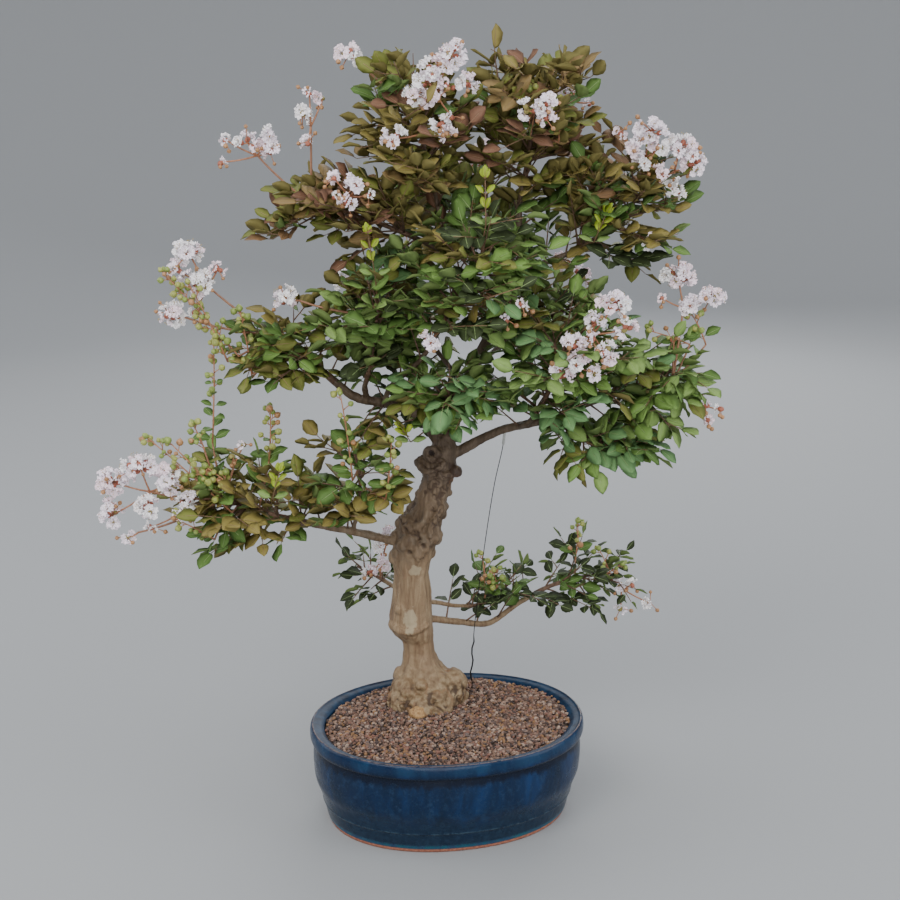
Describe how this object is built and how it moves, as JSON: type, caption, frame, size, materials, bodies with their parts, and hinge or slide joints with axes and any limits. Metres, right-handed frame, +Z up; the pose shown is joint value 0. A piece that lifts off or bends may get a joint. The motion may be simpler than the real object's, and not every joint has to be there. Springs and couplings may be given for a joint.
{
  "type": "crape myrtle bonsai",
  "caption": "Potted crape myrtle bonsai in leaf and white blossom, with a leaning bare trunk and spreading boughs, in an oval glazed pot filled with grit.",
  "frame": {"origin": "centre of the pot's flat underside, on the ground", "axes": "+Z up, +X to the right along the pot's length as the plant is shown, +Y to the back"},
  "size_m": [0.6506, 0.3483, 0.8526],
  "materials": {
    "glaze": "deep blue gloss glaze over a bare clay foot",
    "grit": "loose mixed fine grit",
    "bark": "smooth tan bark with pale patches",
    "foliage": "green leaves, white crinkled blossom and green-yellow buds on thin twigs",
    "wire": "thin dark wire"
  },
  "bodies": {
    "root": {"bough_back_high": "bark", "bough_back_left": "bark", "bough_back_mid": "bark", "bough_back_right": "bark", "bough_front_rise": "bark", "bough_left": "bark", "bough_left_rise": "bark", "bough_low_back": "bark", "bough_low_back_fork": "bark", "bough_low_left": "bark", "bough_low_left_fork": "bark", "bough_right": "bark", "bough_right_front": "bark", "bough_right_low": "bark", "bough_top_back": "bark", "bough_top_front": "bark", "bough_upper_left": "bark", "bough_upper_left_fork": "bark", "bough_upper_right": "bark", "foliage_back_high": "foliage", "foliage_back_left": "foliage", "foliage_back_mid": "foliage", "foliage_back_right": "foliage", "foliage_front": "foliage", "foliage_front_right": "foliage", "foliage_hanging": "foliage", "foliage_left": "foliage", "foliage_low_back": "foliage", "foliage_low_back_right": "foliage", "foliage_low_left": "foliage", "foliage_low_mid": "foliage", "foliage_mid_left": "foliage", "foliage_neck_back": "foliage", "foliage_neck_front": "foliage", "foliage_right": "foliage", "foliage_top": "foliage", "foliage_top_left": "foliage", "foliage_upper_left": "foliage", "foliage_upper_right": "foliage", "guy_wire": "wire", "leader": "bark", "pot": "glaze", "soil": "grit", "trunk": "bark"}
  },
  "joints": []
}
